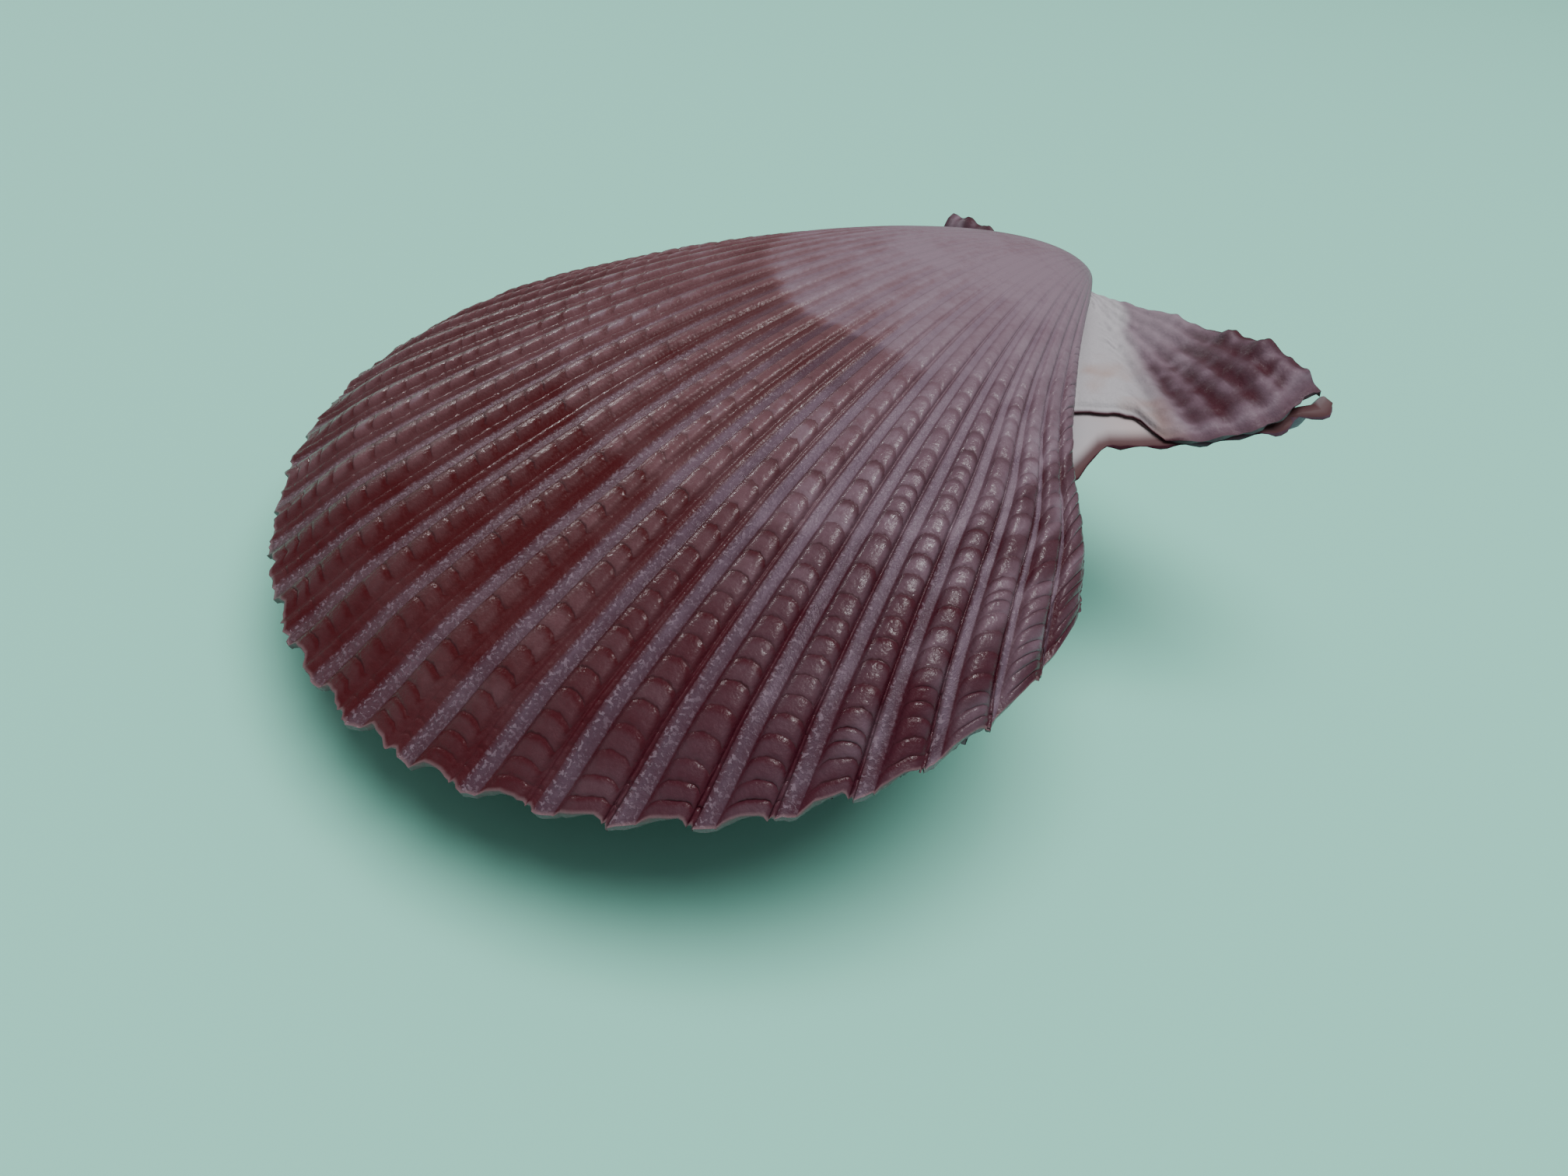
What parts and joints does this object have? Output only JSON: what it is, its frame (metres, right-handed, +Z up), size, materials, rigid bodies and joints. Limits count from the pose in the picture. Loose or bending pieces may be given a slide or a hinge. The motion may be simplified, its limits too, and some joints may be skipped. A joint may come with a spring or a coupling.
{
  "type": "scallop shell",
  "caption": "Closed scallop shell lying on its lower valve: ribbed fan-shaped valves with beaded ribs and unequal ears, held together along a straight hinge.",
  "frame": {"origin": "the middle of the shell's outline, on the surface it lies on", "axes": "+X towards the front ear, the one with the notch, +Y from the ventral edge to the hinge, +Z up, through the upper (right) valve"},
  "size_m": [0.046, 0.0482, 0.0181],
  "materials": {
    "right_valve": "satin, maroon and lavender ribbed shell",
    "left_valve": "satin, purple-brown ribbed shell",
    "hinge_ligament": "dark brown, horny"
  },
  "bodies": {
    "root": {"right_valve": "right_valve", "left_valve": "left_valve", "hinge_ligament": "hinge_ligament"}
  },
  "joints": []
}
